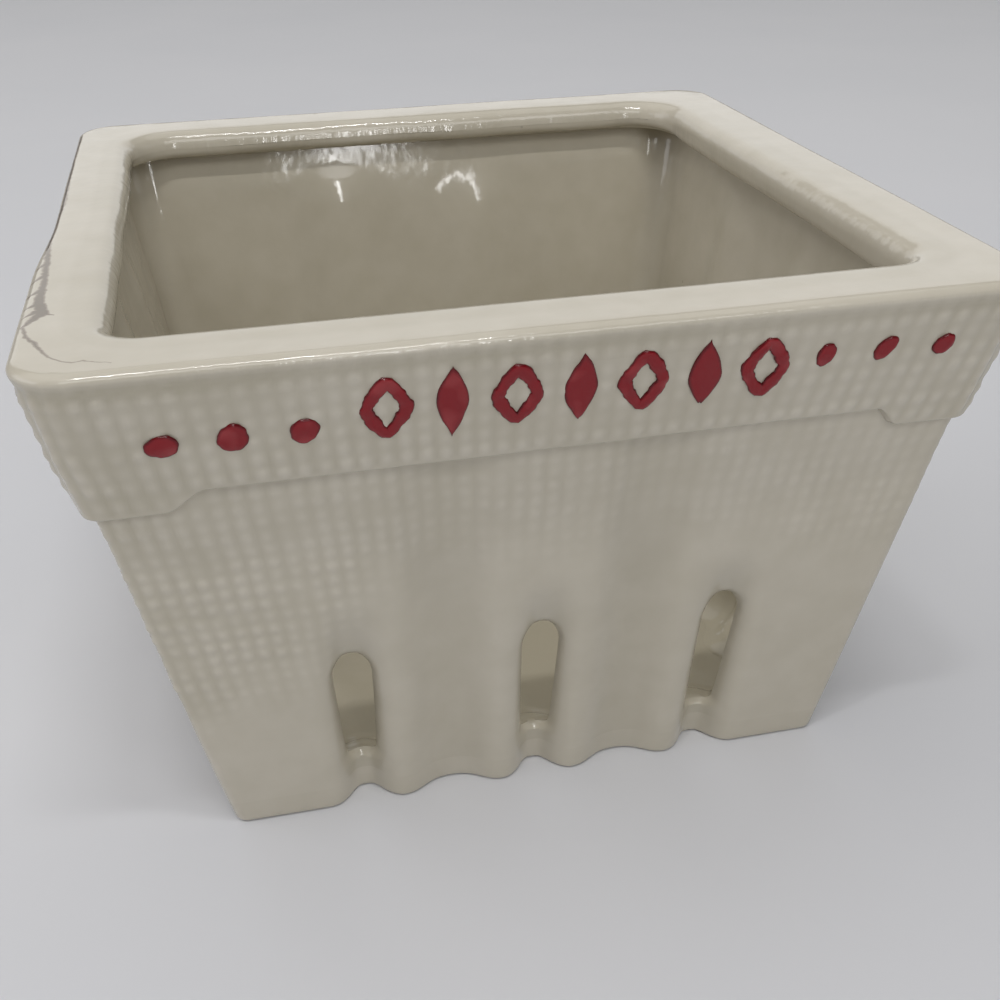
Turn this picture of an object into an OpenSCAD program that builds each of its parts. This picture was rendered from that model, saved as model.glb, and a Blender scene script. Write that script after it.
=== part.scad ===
// Square berry basket in glazed ceramic. A tapered body stands on a flat foot. Each side has three
// narrow grooves with a drain slot in each and two wide shallow valleys between them. A flat rim
// with a rounded inner lip sits on the walls, and a deep band hangs from it outside, stepping down
// at the corners. Raised red enamel spots and lozenges are painted on the front of the band.

/* [Overall] */
// Width across the rim, both ways
rim_w = 140; // [120:0.5:170]
// Height from the table to the rim's flat top
bowl_h = 89.6; // [75:0.2:110]
// How far the foot stands in from the rim's outside
foot_in = 18.3; // [12:0.1:22]
// How far the body's neck stands in from the rim's outside, at the band's lower corners
neck_in = 7.2; // [5:0.1:10]

/* [Walls] */
// Thickness of each wall at its crests
wall_t = 5; // [3.5:0.1:7]
// Thickness of the floor
floor_t = 5; // [3.5:0.1:8]
// Radius of the body's upright outer corners
corner_r = 2.2; // [1.5:0.1:5]
// Radius of the body's upright inner corners
inner_r = 6; // [3:0.1:10]
// Softened edge where the foot meets the table
foot_edge = 0.8; // [0.3:0.1:2]

/* [Flutes] */
// From the middle of a side to its outer groove, at the foot
groove_gap = 29.4; // [24:0.1:34]
// Half the width of a narrow groove
groove_half = 6.2; // [5:0.1:7.5]
// Depth of a narrow groove at the foot
groove_deep = 4.4; // [3:0.1:6]
// Height where a narrow groove has faded out
groove_end_z = 43.5; // [36:0.1:50]
// From the middle of a side to a wide valley, at the foot
valley_gap = 14.7; // [12:0.1:17]
// Half the width of a wide valley
valley_half = 8.4; // [7:0.1:9.5]
// Depth of a wide valley at the foot
valley_deep = 3.1; // [2:0.1:4.5]

/* [Drain slots] */
// Widest part of a slot
slot_w = 6.1; // [4.8:0.1:8]
// Width of a slot at its sill
slot_foot_w = 5; // [4.4:0.1:7]
// Height of the sill
slot_low_z = 10.4; // [7:0.1:16]
// Height of the slot's rounded top
slot_high_z = 34.8; // [26:0.1:42]
// Corner radius at the sill
slot_corner = 1.2; // [0.4:0.1:2]

/* [Band] */
// How far the band's lower corners stand out past the neck
band_out = 1.5; // [1:0.1:3]
// From the rim's top down to the band's lower edge at the corners
band_deep = 23.3; // [16:0.1:30]
// How much higher that edge is along the middle
band_step = 3.4; // [1:0.1:6]
// From the rim's outside in to the step in the band's edge
step_in = 21.5; // [14:0.1:28]
// Length over which the step runs down
step_run = 2; // [0.5:0.1:4]
// Corner radius of the band at its lower edge
band_corner_r = 3.2; // [2.2:0.1:6]

/* [Rim] */
// Thickness of the rim
rim_t = 5.6; // [4:0.1:8]
// Width of the rim's flat top, from its outside to the opening
rim_flat = 12.2; // [8:0.1:16]
// Corner radius of that opening
mouth_r = 9; // [5:0.1:14]
// Corner radius of the rim's outside
rim_corner_r = 8; // [5:0.1:12]
// Rounding of the rim's top outer edge
rim_edge = 1.9; // [1:0.1:2.4]
// Rounding of the rim's top inner edge
lip_edge = 2; // [0.5:0.1:2.4]
// Rounding of the lip's lower inner edge
lip_under = 1.6; // [0.5:0.1:2.4]

/* [Enamel] */
// Width of a red spot in the left row
spot_left_w = 4.1; // [3:0.1:6]
// Height of a red spot in the left row
spot_left_h = 4; // [3:0.1:6]
// Width of a red spot in the right row, the short way across
spot_right_w = 2.7; // [2:0.1:5]
// Height of a red spot in the right row, the long way
spot_right_h = 4; // [3:0.1:6]
// Degrees that the right row's spots lean to the right
spot_lean = 30; // [0:1:45]
// Thickness of the enamel
enamel_t = 0.4; // [0.2:0.05:0.8]
// From the rim's outside in to the farthest spot on each side
spot_far_in = 16.7; // [12:0.1:20]
// Distance between spots
spot_pitch = 8.8; // [6:0.1:10]
// Shift of both rows of spots to the right
spot_x = 1.1; // [0:0.1:2]
// From the rim's top down to the left row of spots
spot_left_drop = 11.8; // [7:0.1:16]
// From the rim's top down to the right row of spots
spot_right_drop = 8.7; // [7:0.1:16]
// Clear space between the near spots and the row of marks
mark_clear = 4; // [1:0.1:6]
// Height of a lozenge
mark_h = 11.2; // [8:0.1:13]
// From the rim's top down to the middle of the row of marks
mark_drop = 9.6; // [8:0.1:14]
// Shift of the row of marks from the middle of the front
mark_x = 2; // [0:0.1:4]

/* [Hidden] */
// each table is a list of shares: a place, then how much of the full size is there
groove_shares = [[0, 1], [0.2, 0.95], [0.4, 0.63], [0.65, 0.22], [1, 0]];
valley_shares = [[0, 1], [0.3, 0.9], [0.55, 0.53], [0.78, 0.13], [1, 0]];
groove_fade_shares = [[0, 1], [0.5, 0.87], [0.74, 0.72], [0.85, 0.38], [1, 0]];
valley_fade_shares = [[0, 1], [1, 0.5], [1.04, 0]];
soft_shares = [[0, 1], [0.25, 0.85], [0.5, 0.5], [0.75, 0.15], [1, 0]];
foot_lean_share = 0.08;
bulge_share = 0.82;
soft_spread_share = 1.35;
slot_top_share = 1.3;
lozenge_share = 0.874;
leaf_share = 0.53;
line_share = 0.218;
spot_shares = [[1, 0], [0.96, 0.4], [0.82, 0.8], [0.55, 1], [0, 1]];
corner_angles = [0, 15, 30, 45];
round_angles = [0, 22.5, 45, 67.5, 90];
$fn = 32;

foot_w = rim_w - 2 * foot_in;
neck_w = rim_w - 2 * neck_in;
band_foot_w = neck_w + 2 * band_out;
band_low_z = bowl_h - band_deep;
band_mid_z = band_low_z + band_step;
step_x = rim_w / 2 - step_in;
mouth_w = rim_w - 2 * rim_flat;
rim_low_z = bowl_h - rim_t;
spot_far_x = rim_w / 2 - spot_far_in;
mark_pitch = (2 * (spot_far_x - 2 * spot_pitch - mark_clear) - (spot_left_w + spot_right_w) / 2)
    / (6 + lozenge_share);
mark_w = lozenge_share * mark_pitch;
leaf_w = leaf_share * mark_pitch;
mark_line = line_share * mark_pitch;
edge_z = bowl_h - rim_edge;
band_slope_share = (rim_w - band_foot_w) / 2 / (edge_z - band_low_z);
band_tilt = atan(band_slope_share);

// half width of the body's crests, the band and its corner radius at a height
function rise(z) = z / band_low_z;
function body_half(z) = foot_w / 2 + (neck_w - foot_w) / 2 * rise(z);
function band_half(z) = band_foot_w / 2 + band_slope_share * (z - band_low_z);
function band_r(z) = band_corner_r
    + (rim_corner_r - band_corner_r) * (z - band_low_z) / (edge_z - band_low_z);
function lean(z) = 1 + foot_lean_share * rise(z);

// depth of the flutes below the crests, at a distance along the foot and a height
function groove_at(d, z) = groove_deep * lookup(abs(d) / groove_half, groove_shares)
    * lookup(z / groove_end_z, groove_fade_shares);
function valley_at(d, z) = valley_deep * lookup(abs(d) / valley_half, valley_shares)
    * lookup(z / band_mid_z, valley_fade_shares);
function flute(x, z) = groove_at(x, z) + groove_at(abs(x) - groove_gap, z)
    + valley_at(abs(x) - valley_gap, z);

// the inside follows the flutes softly
function soft_at(d, half) = lookup(abs(d) / (half * soft_spread_share), soft_shares);
function inner_flute(x, z) = bulge_share * (
    groove_deep * lookup(z / groove_end_z, groove_fade_shares)
        * (soft_at(x, groove_half) + soft_at(abs(x) - groove_gap, groove_half))
    + valley_deep * lookup(z / band_mid_z, valley_fade_shares)
        * soft_at(abs(x) - valley_gap, valley_half));

// places along one half of a side, measured at the foot
groove_places = [for (s = groove_shares) s[0] * groove_half];
valley_places = [for (s = valley_shares) s[0] * valley_half];
half_places = concat(
    groove_places,
    [for (i = [len(valley_places) - 2 : -1 : 1]) valley_gap - valley_places[i]],
    [for (i = [0 : len(valley_places) - 2]) valley_gap + valley_places[i]],
    [for (i = [len(groove_places) - 1 : -1 : 1]) groove_gap - groove_places[i]],
    [for (p = groove_places) groove_gap + p]);
side_places = concat(
    [for (i = [len(half_places) - 1 : -1 : 1]) -half_places[i]],
    half_places);

// a quarter corner as far as the mitre; side is -1 on the left and 1 on the right
function corner_arc(half, r, side) = [for (a = corner_angles)
    [side * (half - r + r * sin(a)), -(half - r + r * cos(a))]];
function backwards(list) = [for (i = [len(list) - 1 : -1 : 0]) list[i]];

// outer and inner lines of one side at a height, each from left to right
function outer_line(z, inset) = let (h = body_half(z) - inset) concat(
    backwards(corner_arc(h, corner_r, -1)),
    [for (x = side_places) [x * lean(z), -(h - flute(x, z))]],
    corner_arc(h, corner_r, 1));
function inner_line(z) = let (h = body_half(z) - wall_t) concat(
    backwards(corner_arc(h, inner_r, -1)),
    [for (x = side_places) [x * lean(z), -(h - inner_flute(x, z))]],
    corner_arc(h, inner_r, 1));
function at_height(line, z) = [for (p = line) [p[0], p[1], z]];
function turned(p, a) = [p[0] * cos(a) - p[1] * sin(a), p[0] * sin(a) + p[1] * cos(a), p[2]];

// the skin between loops that all have the same number of points and run anticlockwise
function skin(n, m) = [for (j = [0 : m - 2], i = [0 : n - 1]) let (
        a = j * n + i, b = j * n + (i + 1) % n, c = b + n, d = a + n)
    each [[a, d, c], [a, c, b]]];

// a wall through loops whose second half runs back along the first, so each end is a strip
module loft(loops) {
    n = len(loops[0]);
    m = len(loops);
    top = (m - 1) * n;
    strip = [for (i = [0 : n / 2 - 2]) each [[i, i + 1, n - 2 - i], [i, n - 2 - i, n - 1 - i]]];
    polyhedron([for (loop = loops) each loop], concat(
        skin(n, m), strip, [for (t = strip) [top + t[2], top + t[1], top + t[0]]]));
}

// a slab through round loops, closed below and above by a fan from its middle
module loft_slab(loops) {
    n = len(loops[0]);
    m = len(loops);
    top = (m - 1) * n;
    polyhedron(
        concat([for (loop = loops) each loop],
            [[0, 0, loops[0][0][2]], [0, 0, loops[m - 1][0][2]]]),
        concat(skin(n, m),
            [for (i = [0 : n - 1]) [i, (i + 1) % n, m * n]],
            [for (i = [0 : n - 1]) [top + (i + 1) % n, top + i, m * n + 1]]));
}

// one side of the body, with its slots
wall_levels = concat(
    [floor_t],
    [for (i = [1 : len(groove_fade_shares) - 1]) groove_fade_shares[i][0] * groove_end_z],
    [band_mid_z, band_mid_z * valley_fade_shares[2][0], rim_low_z]);

module slot_cut(side) {
    top_z = slot_high_z - slot_top_share * slot_w / 2;
    sill = slot_foot_w / 2 - slot_corner;
    outline = concat(
        [for (a = [0 : 18 : 180]) [slot_w / 2 * cos(a), top_z + slot_top_share * slot_w / 2 * sin(a)]],
        [for (a = [180 : 30 : 270]) [-sill + slot_corner * cos(a),
            slot_low_z + slot_corner + slot_corner * sin(a)]],
        [for (a = [270 : 30 : 360]) [sill + slot_corner * cos(a),
            slot_low_z + slot_corner + slot_corner * sin(a)]]);
    out_y = body_half(slot_high_z) + wall_t;
    in_y = foot_w / 2 - wall_t - wall_t;
    translate([0, -in_y, 0]) rotate([90, 0, 0])
        linear_extrude(out_y - in_y)
            polygon([for (p = outline) [p[0] + side * groove_gap * lean(p[1]), p[1]]]);
}

module side_wall(turn) {
    color("ivory") rotate([0, 0, turn]) difference() {
        loft([for (z = wall_levels) at_height(concat(outer_line(z, 0), backwards(inner_line(z))), z)]);
        slot_cut(-1);
        slot_cut(0);
        slot_cut(1);
    }
}

module wall_front() { side_wall(0); }
module wall_right() { side_wall(90); }
module wall_back() { side_wall(180); }
module wall_left() { side_wall(270); }

// the floor carries the fluted outline down to the table
function round_outline(z, inset) = [for (k = [0 : 3]) let (
        line = at_height(outer_line(z, inset), z))
    each [for (i = [0 : len(line) - 2]) turned(line[i], 90 * k)]];

module floor_slab() {
    color("ivory") loft_slab([round_outline(0, foot_edge),
        round_outline(foot_edge, 0), round_outline(floor_t, 0)]);
}

// one side of the band, lying on the wall's crests
module side_band(turn) {
    color("ivory") rotate([0, 0, turn]) difference() {
        loft([for (z = [band_low_z, rim_low_z]) at_height(concat(
            backwards(corner_arc(band_half(z), band_r(z), -1)),
            corner_arc(band_half(z), band_r(z), 1),
            backwards(corner_arc(body_half(z), corner_r, 1)),
            corner_arc(body_half(z), corner_r, -1)), z)]);
        translate([0, -foot_w / 2, 0]) rotate([90, 0, 0]) linear_extrude(rim_w / 2)
            polygon([[-step_x - step_run, band_low_z - step_run], [step_x + step_run, band_low_z - step_run],
                [step_x + step_run, band_low_z], [step_x, band_mid_z],
                [-step_x, band_mid_z], [-step_x - step_run, band_low_z]]);
    }
}

module band_front() { side_band(0); }
module band_right() { side_band(90); }
module band_back() { side_band(180); }
module band_left() { side_band(270); }

// the flat rim: its section is carried round the square from corner to corner
function rim_section() = concat(
    [[band_half(rim_low_z), band_r(rim_low_z), rim_low_z]],
    [for (a = round_angles) [rim_w / 2 - rim_edge * (1 - cos(a)),
        rim_corner_r - rim_edge * (1 - cos(a)), edge_z + rim_edge * sin(a)]],
    [for (a = round_angles) [mouth_w / 2 + lip_edge * (1 - sin(a)),
        mouth_r + lip_edge * (1 - sin(a)), bowl_h - lip_edge * (1 - cos(a))]],
    [for (a = round_angles) [mouth_w / 2 + lip_under * (1 - cos(a)),
        mouth_r + lip_under * (1 - cos(a)), rim_low_z + lip_under * (1 - sin(a))]]);

module rim_ring() {
    section = rim_section();
    color("ivory") loft_round([for (k = [0 : 3], a = [0 : 15 : 90])
        [for (s = section) turned([s[0] - s[1] + s[1] * cos(a), s[0] - s[1] + s[1] * sin(a), s[2]], 90 * k)]]);
}

// a closed solid through sections that come back round to the first
module loft_round(sections) {
    n = len(sections[0]);
    m = len(sections);
    polyhedron([for (s = sections) each s],
        [for (j = [0 : m - 1], i = [0 : n - 1]) let (
                a = j * n + i, b = j * n + (i + 1) % n,
                c = ((j + 1) % m) * n + (i + 1) % n, d = ((j + 1) % m) * n + i)
            each [[a, b, c], [a, c, d]]]);
}

// enamel lies on the front of the band
module on_band(x, z) {
    translate([x, -band_half(z), z]) rotate([90 + band_tilt, 0, 0]) children();
}

module spot(x, z, w, h, tilt) {
    color("firebrick") on_band(x, z) rotate(-tilt) scale([w / h, 1, 1]) rotate_extrude()
        polygon(concat([[0, 0]], [for (s = spot_shares) [s[0] * h / 2, s[1] * enamel_t]]));
}

// place counts the spots of a row from its outer end
module left_spot(place) {
    spot(spot_x - spot_far_x + place * spot_pitch, bowl_h - spot_left_drop, spot_left_w, spot_left_h, 0);
}
module right_spot(place) {
    spot(spot_x + spot_far_x - place * spot_pitch, bowl_h - spot_right_drop,
        spot_right_w, spot_right_h, spot_lean);
}

module spot_left_far() { left_spot(0); }
module spot_left_mid() { left_spot(1); }
module spot_left_near() { left_spot(2); }
module spot_right_near() { right_spot(2); }
module spot_right_mid() { right_spot(1); }
module spot_right_far() { right_spot(0); }

module lozenge(place) {
    inner_w = mark_w - 2 * mark_line * sqrt(1 + (mark_w / mark_h) * (mark_w / mark_h));
    inner_h = inner_w * mark_h / mark_w;
    color("firebrick") on_band(mark_x + place * mark_pitch, bowl_h - mark_drop) linear_extrude(enamel_t) difference() {
        polygon([[mark_w / 2, 0], [0, mark_h / 2], [-mark_w / 2, 0], [0, -mark_h / 2]]);
        polygon([[inner_w / 2, 0], [0, inner_h / 2], [-inner_w / 2, 0], [0, -inner_h / 2]]);
    }
}

module leaf(place) {
    r = (mark_h * mark_h + leaf_w * leaf_w) / (4 * leaf_w);
    color("firebrick") on_band(mark_x + place * mark_pitch, bowl_h - mark_drop) linear_extrude(enamel_t) intersection() {
        translate([r - leaf_w / 2, 0]) circle(r);
        translate([leaf_w / 2 - r, 0]) circle(r);
    }
}

module mark_lozenge_1() { lozenge(-3); }
module mark_leaf_1() { leaf(-2); }
module mark_lozenge_2() { lozenge(-1); }
module mark_leaf_2() { leaf(0); }
module mark_lozenge_3() { lozenge(1); }
module mark_leaf_3() { leaf(2); }
module mark_lozenge_4() { lozenge(3); }

floor_slab();
wall_front();
wall_right();
wall_back();
wall_left();
band_front();
band_right();
band_back();
band_left();
rim_ring();
spot_left_far();
spot_left_mid();
spot_left_near();
spot_right_near();
spot_right_mid();
spot_right_far();
mark_lozenge_1();
mark_leaf_1();
mark_lozenge_2();
mark_leaf_2();
mark_lozenge_3();
mark_leaf_3();
mark_lozenge_4();
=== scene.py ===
import math
import bpy
import numpy as np
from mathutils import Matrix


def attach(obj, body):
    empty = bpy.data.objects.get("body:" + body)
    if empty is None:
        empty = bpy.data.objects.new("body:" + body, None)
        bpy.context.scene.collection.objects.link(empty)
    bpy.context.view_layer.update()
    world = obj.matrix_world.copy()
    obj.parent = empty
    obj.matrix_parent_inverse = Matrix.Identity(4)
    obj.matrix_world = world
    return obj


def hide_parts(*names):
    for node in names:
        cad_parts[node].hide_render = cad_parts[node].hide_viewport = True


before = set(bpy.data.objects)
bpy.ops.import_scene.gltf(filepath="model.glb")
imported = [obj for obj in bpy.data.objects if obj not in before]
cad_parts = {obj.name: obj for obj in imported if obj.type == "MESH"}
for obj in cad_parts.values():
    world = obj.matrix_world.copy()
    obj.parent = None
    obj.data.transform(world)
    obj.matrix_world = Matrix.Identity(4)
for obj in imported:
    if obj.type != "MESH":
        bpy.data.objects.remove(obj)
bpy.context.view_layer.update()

body = {
    "rimWide": 140.0, "tall": 89.6, "footWide": 103.4, "neckWide": 125.2, "neckHigh": 66.3,
    "wall": 5.0, "floor": 5.0, "corner": 2.2, "innerCorner": 6.0, "footEdge": 0.8,
    "lean": 0.08,        # how far the flutes spread between the foot and the band
    "uneven": 0.16,      # hand-finished unevenness of the cast surface
}
flutes = {
    "gap": 29.4, "half": 6.2, "deep": 4.4, "endHigh": 43.5, "bulge": 0.82, "spread": 1.35,
    "valleyGap": 14.7, "valleyHalf": 8.4, "valleyDeep": 3.1, "valleyEnd": 69.7,
    "shape": [(0, 1), (0.2, 0.96), (0.35, 0.73), (0.5, 0.43), (0.7, 0.16), (0.85, 0.04), (1, 0)],
    "valleyShape": [(0, 1), (0.15, 0.97), (0.33, 0.86), (0.5, 0.62), (0.65, 0.34), (0.82, 0.08), (1, 0)],
    "fade": [(0, 1), (0.5, 0.87), (0.72, 0.74), (0.83, 0.46), (0.93, 0.14), (1, 0)],
    "valleyFade": [(0, 1), (0.62, 0.68), (1, 0.5), (1.04, 0)],
}
slots = {
    "wide": 6.1, "sillWide": 5.0, "low": 10.4, "high": 34.8, "corner": 1.3, "topShare": 1.3,
    "roll": 1.3, "innerRoll": 1.6,
    # each was cut by hand: how much lower its top and its sill are, how far the sill falls inwards
    # and how far its sides open inwards
    "topDrop": (2.4, 1.2, 0.2), "sillDrop": (1.5, 1.8, 2.4), "sillFalls": 1.6, "opens": 1.5,
    # how far from a slot its edge is rolled, and the heights over which its top and its sides are moved
    "aside": 7, "rolledFrom": 7, "rolledTo": 40, "topMoves": (14, 33, 36, 52), "sidesMove": (5, 11, 33, 44),
}
band = {
    "footWide": 127.8, "low": 66.3, "middleLow": 69.7, "stepAt": 48.6,
    "leftRun": 3.4, "rightRun": 2.4, "corner": 3.2, "lowEdge": 0.6,
}
rim = {
    "thick": 5.6, "corner": 8.0, "mouthWide": 115.6, "mouthCorner": 9.0,
    "edge": 1.5, "lipEdge": 3.4, "lipUnder": 2.0, "sag": 0.8, "topUneven": 0.16, "lipUneven": 0.25,
    "weaveShare": 0.75, "weaveEnds": (88.6, 86.4), "edgeLowered": 0.85, "edgeLoweredAt": (84.5, 87),
    # how much sharper each corner of the mouth is, from the front left one
    "mouthTighter": (4.6, 3.6, 0, 0),
    "wider": {"front": 1.7, "right": 1.5, "back": 0.5, "left": 0.2}, "rightDeeper": 1.3,
}
weave = {
    "columns": 24, "rowHigh": 2.5, "bandRowHigh": 2.8, "high": 0.26, "bandHigher": 1.1,
    # its lines wander over these lengths, it is worn in patches, and each row dips between its beads
    "wander": 0.10, "columnDrift": 19, "rowDrift": 15, "patch": 6, "worn": (0.8, 0.42),
    "bead": (0.46, 0.54), "sharp": 0.8, "lowered": 0.36,
    # how strong it stands at the left end, middle and right end of the front, right, back and left side
    "wallShare": ((1.6, 0.9, 0.6), (0.6, 0.9, 1.0), (1.0, 1.0, 1.0), (1.0, 1.3, 1.6)),
    "bandShare": ((1.7, 1.1, 1.2), (1.2, 1.1, 1.1), (1.1, 1.1, 1.1), (1.1, 1.4, 1.7)),
}

sides = (("front", 0), ("right", 90), ("back", 180), ("left", 270))
rimLow = body["tall"] - rim["thick"]
edgeHigh = body["tall"] - rim["edge"]
bandSlope = (body["rimWide"] - band["footWide"]) / 2 / (edgeHigh - band["low"])
bandTilt = math.atan(bandSlope)


# Forms shared by the pieces, all worked on arrays of places
def smooth(low, high, value):
    t = np.clip((value - low) / (high - low), 0, 1)
    return t * t * (3 - 2 * t)


def between(value, low, lowEnd, highStart, high):
    # 1 from lowEnd to highStart, and it fades to 0 at low and high
    return smooth(low, lowEnd, value) * smooth(high, highStart, value)


def softTable(value, pairs, soften=0.07):
    places = [p[0] for p in pairs]
    amounts = [p[1] for p in pairs]
    shifts = np.linspace(-soften, soften, 7)
    return sum(np.interp(np.abs(value + s), places, amounts) for s in shifts) / len(shifts)


def wander(x, y, z, size, seed):
    total = 0
    for k in range(6):
        turn, rise = seed * 1.7 + k * 2.399, seed * 0.9 + k * 1.13
        along = (x * math.cos(turn) * math.cos(rise) + y * math.sin(turn) * math.cos(rise)
                 + z * math.sin(rise))
        total = total + np.sin(along * 2 * math.pi / (size * (0.7 + 0.25 * k)) + seed * 3.1 + k * 1.9)
    return np.clip(total / 3.4, -1, 1)


def wanderAt(place, size, seed):
    return wander(place[:, 0], place[:, 1], place[:, 2], size, seed)


def bodyHalf(z):
    return body["footWide"] / 2 + (body["neckWide"] - body["footWide"]) / 2 * z / body["neckHigh"]


def bandHalf(z):
    return band["footWide"] / 2 + bandSlope * (z - band["low"])


def bandCorner(z):
    return band["corner"] + (rim["corner"] - band["corner"]) * (z - band["low"]) / (edgeHigh - band["low"])


def lean(z):
    return 1 + body["lean"] * z / body["neckHigh"]


def grooveAt(x, z):
    fade = flutes["deep"] * softTable(z / flutes["endHigh"], flutes["fade"], 0.05)
    return sum(fade * softTable((x - gap) / flutes["half"], flutes["shape"])
               for gap in (-flutes["gap"], 0, flutes["gap"]))


def valleyAt(x, z):
    fade = flutes["valleyDeep"] * softTable(z / flutes["valleyEnd"], flutes["valleyFade"], 0.01)
    return sum(fade * softTable((x - gap) / flutes["valleyHalf"], flutes["valleyShape"])
               for gap in (-flutes["valleyGap"], flutes["valleyGap"]))


def innerFluteAt(x, z):
    narrow = flutes["deep"] * softTable(z / flutes["endHigh"], flutes["fade"], 0.12)
    wide = flutes["valleyDeep"] * softTable(z / flutes["valleyEnd"], flutes["valleyFade"], 0.03)
    wide = np.maximum(wide, flutes["valleyDeep"] * 0.5)
    total = 0
    for gap, half, amount, high, head in (
            (-flutes["gap"], flutes["half"], narrow, 99, 1), (0, flutes["half"], narrow, 99, 1),
            (flutes["gap"], flutes["half"], narrow, 99, 1),
            (-flutes["valleyGap"], flutes["valleyHalf"], wide, 70.5, 8.5),
            (flutes["valleyGap"], flutes["valleyHalf"] * 1.05, wide, 72.5, 8.3)):
        # the valleys end inside in a rounded head under the rim
        near = np.hypot((x - gap) / (half * flutes["spread"]), np.maximum(z - high, 0) / head)
        total = total + amount * (0.5 + 0.5 * np.cos(math.pi * np.clip(near, 0, 1)))
    return flutes["bulge"] * total


# The woven relief: upright ridges with a bead at each crossing, worn soft by the glaze
def beads(u, v, place, seed):
    u = u + weave["wander"] * wanderAt(place, weave["columnDrift"], seed)
    v = v + weave["wander"] * wanderAt(place, weave["rowDrift"], seed + 2)
    ridge = 0.5 + 0.5 * np.cos(2 * math.pi * u)
    row = 0.5 + 0.5 * np.cos(2 * math.pi * v)
    (least, more), (dip, swell) = weave["worn"], weave["bead"]
    worn = least + more * wanderAt(place, weave["patch"], seed + 4)
    return ridge ** weave["sharp"] * (dip + swell * row) * worn - weave["lowered"]


# The glaze lies thin on the relief's crests and pools between them
def grainTone(rise):
    return np.clip(0.5 - 0.9 * rise / weave["high"], -0.2, 1.3)


def weaveShare(run, side, part):
    ends = np.array(weave[part])[side]
    left, middle, right = np.moveaxis(ends, -1, 0)
    return np.where(run < 0, middle + (left - middle) * -run, middle + (right - middle) * run)


# One side of the basket seen from the front: column k counts from the middle, and past
# flatColumns it goes round the corner as far as the mitre
def sidePlace(k, flatColumns, cornerColumns, half, radius):
    t = np.abs(k) / flatColumns
    turn = np.clip((np.abs(k) - flatColumns) / cornerColumns, 0, 1) * math.pi / 4
    flat = half - radius
    x = np.sign(k) * np.where(t <= 1, t * flat, flat + radius * np.sin(turn))
    y = -np.where(t <= 1, half, flat + radius * np.cos(turn))
    run = np.where(t <= 1, t * flat, flat + radius * turn) / (flat + radius * math.pi / 4)
    return x, y, np.sign(k) * np.sin(turn), -np.cos(turn), np.sign(k) * run


wallColumns = {"flat": 134, "corner": 8}
bandColumns = {"flat": 134, "corner": 14}
rimColumns = {"flat": 138, "corner": 16}


def turned(x, y, z, turn):
    a = math.radians(turn)
    return np.stack([x * math.cos(a) - y * math.sin(a), x * math.sin(a) + y * math.cos(a), z], 1)


def spun(x, y, sideOf):
    # sideOf counts quarter turns from the front
    a = sideOf * math.pi / 2
    return x * np.cos(a) - y * np.sin(a), x * np.sin(a) + y * np.cos(a)


# The casting dried a little bowed: how far its left and right sides stand out at some heights, and
# how far the left side of the rim was pulled in behind its front corner while it was soft
dried = {
    "heights": (0, 12, 35, 60, 67, 76, 84, 88), "left": (0, 0.45, 0.8, 0.75, 1.0, 1.0, 0.35, 0),
    "right": (0, 0.1, 0.25, 0.3, 0.5, 0.5, 0.15, 0), "pulledIn": 1.2, "widest": 69.99,
}


def warp(place):
    x, y, z = place[:, 0], place[:, 1], place[:, 2]
    left = np.interp(z, dried["heights"], dried["left"])
    right = np.interp(z, dried["heights"], dried["right"])
    left = left - dried["pulledIn"] * smooth(-30, -2, y) * smooth(66, 82, z) * smooth(57, 66, -x)
    bowed = x + np.where(x < 0, -left, right) * smooth(25, 60, np.abs(x))
    return np.stack([np.clip(bowed, -dried["widest"], dried["widest"]), y, z], 1)


def skin(place):
    # unevenness of the outside, never proud of the mould
    return body["uneven"] * 0.5 * (wanderAt(place, 34, 1) - 1)


# Modelling steps
def clearSelection():
    if bpy.context.mode != "OBJECT":
        bpy.ops.object.mode_set(mode="OBJECT")
    bpy.ops.object.select_all(action="DESELECT")


def rollSlab(name, across, up):
    clearSelection()
    bpy.ops.mesh.primitive_grid_add(x_subdivisions=across, y_subdivisions=up, size=2)
    slab = bpy.context.active_object
    slab.name = slab.data.name = name
    return slab


def meshPlaces(piece):
    flat = np.empty(len(piece.data.vertices) * 3)
    piece.data.vertices.foreach_get("co", flat)
    return flat.reshape(-1, 3)


def gridPlaces(piece, across, up):
    # the column, the row and the layer of each vertex
    places = meshPlaces(piece)
    i = np.rint((places[:, 0] + 1) / 2 * across).astype(int)
    j = np.rint((places[:, 1] + 1) / 2 * up).astype(int)
    return i, j, places[:, 2] > 0.5


def thicken(slab):
    bpy.ops.object.mode_set(mode="EDIT")
    bpy.ops.mesh.select_all(action="SELECT")
    bpy.ops.mesh.extrude_region_move(TRANSFORM_OT_translate={"value": (0, 0, 1)})
    bpy.ops.object.mode_set(mode="OBJECT")


def copyPiece(piece, name):
    clearSelection()
    piece.select_set(True)
    bpy.context.view_layer.objects.active = piece
    bpy.ops.object.duplicate()
    twin = bpy.context.active_object
    twin.name = twin.data.name = name
    return twin


def removePiece(piece):
    clearSelection()
    piece.select_set(True)
    bpy.ops.object.delete()


def press(piece, placed):
    # placed holds one place in millimetres for each vertex
    piece.data.vertices.foreach_set("co", (np.asarray(placed) * 0.001).ravel())
    piece.data.update()


def setLayer(piece, name, values):
    layer = piece.data.attributes.new(name, "FLOAT", "POINT")
    layer.data.foreach_set("value", np.asarray(values, dtype=np.float32))


trim = {"weldMetres": 0.0000012, "sharp": 42, "enamelSharp": 60}


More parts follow.
